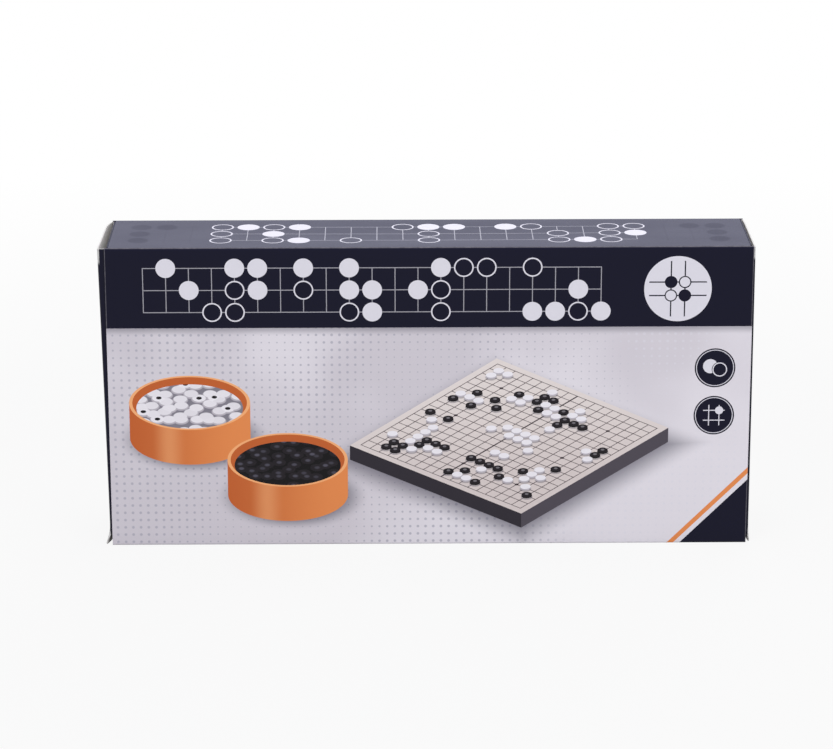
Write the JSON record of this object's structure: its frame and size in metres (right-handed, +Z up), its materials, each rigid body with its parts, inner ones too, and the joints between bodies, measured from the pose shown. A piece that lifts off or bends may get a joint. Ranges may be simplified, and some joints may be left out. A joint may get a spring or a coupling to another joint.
{
  "type": "boxed travel go set",
  "caption": "Tuck-end carton holding a hinged magnetic go board that folds into a case for lidded bowls of stones.",
  "frame": {"origin": "middle of the carton's base, on the surface that it stands on", "axes": "+X along the carton to the right as seen from the front, +Y towards its back, +Z up"},
  "size_m": [0.3038, 0.052, 0.144],
  "materials": {
    "front_print": "gloss",
    "panel_print": "gloss",
    "bare_board": "matte",
    "leaflet_paper": "matte",
    "tray_plastic": "satin",
    "playing_plate": "satin",
    "pin_steel": "satin",
    "bowl_plastic": "gloss",
    "lid_plastic": "gloss",
    "white_stone": "satin",
    "black_stone": "satin",
    "magnet": "satin"
  },
  "bodies": {
    "carton": {"front_panel": "front_print", "back_panel": "panel_print", "top_panel": "panel_print", "bottom_panel": "panel_print", "glue_flap": "bare_board", "instruction_leaflet": "leaflet_paper"},
    "left_end": {"left_end_panel": "panel_print"},
    "right_end": {"right_end_panel": "panel_print"},
    "left_upper_flap": {"left_upper_dust_flap": "bare_board"},
    "left_lower_flap": {"left_lower_dust_flap": "bare_board"},
    "right_upper_flap": {"right_upper_dust_flap": "bare_board"},
    "right_lower_flap": {"right_lower_dust_flap": "bare_board"},
    "rear_half": {"rear_tray": "tray_plastic", "rear_playing_plate": "playing_plate", "hinge_pins": "pin_steel", "white_bowl": "bowl_plastic", "black_bowl": "bowl_plastic", "white_stones": "white_stone", "black_stones": "black_stone", "white_stone_magnets": "magnet", "black_stone_magnets": "magnet"},
    "front_half": {"front_tray": "tray_plastic", "front_playing_plate": "playing_plate"},
    "white_lid": {"white_bowl_lid": "lid_plastic"},
    "black_lid": {"black_bowl_lid": "lid_plastic"}
  },
  "joints": [
    {"name": "left_end_opening", "type": "hinge", "parent": "carton", "child": "left_end", "pos_m": [-0.1482, -0.0257, 0.072], "axis": [0, 0, 1], "range_deg": [0, 170]},
    {"name": "left_upper_flap_swing", "type": "hinge", "parent": "carton", "child": "left_upper_flap", "pos_m": [-0.1473, 0, 0.1437], "axis": [0, 1, 0], "range_deg": [0, 90]},
    {"name": "left_lower_flap_swing", "type": "hinge", "parent": "carton", "child": "left_lower_flap", "pos_m": [-0.1473, 0, 0.0003], "axis": [0, -1, 0], "range_deg": [0, 90]},
    {"name": "right_end_opening", "type": "hinge", "parent": "carton", "child": "right_end", "pos_m": [0.1482, -0.0257, 0.072], "axis": [0, 0, -1], "range_deg": [0, 170]},
    {"name": "right_upper_flap_swing", "type": "hinge", "parent": "carton", "child": "right_upper_flap", "pos_m": [0.1473, 0, 0.1437], "axis": [0, -1, 0], "range_deg": [0, 90]},
    {"name": "right_lower_flap_swing", "type": "hinge", "parent": "carton", "child": "right_lower_flap", "pos_m": [0.1473, 0, 0.0003], "axis": [0, 1, 0], "range_deg": [0, 90]},
    {"name": "case_slide", "type": "slide", "parent": "carton", "child": "rear_half", "axis": [1, 0, 0], "range_m": [-0.006, 0.006]},
    {"name": "board_fold", "type": "hinge", "parent": "rear_half", "child": "front_half", "pos_m": [0, 0.002, 0.1407], "axis": [-1, 0, 0], "range_deg": [0, 2.8]},
    {"name": "white_lid_lift", "type": "slide", "parent": "rear_half", "child": "white_lid", "axis": [0, -1, 0], "range_m": [0, 0.009]},
    {"name": "black_lid_lift", "type": "slide", "parent": "rear_half", "child": "black_lid", "axis": [0, -1, 0], "range_m": [0, 0.009]}
  ],
  "couplings": [
    {"joint": "left_upper_flap_swing", "follows": "left_end_opening", "ratio": 0.5294},
    {"joint": "left_lower_flap_swing", "follows": "left_end_opening", "ratio": 0.5294},
    {"joint": "right_upper_flap_swing", "follows": "right_end_opening", "ratio": 0.5294},
    {"joint": "right_lower_flap_swing", "follows": "right_end_opening", "ratio": 0.5294}
  ]
}
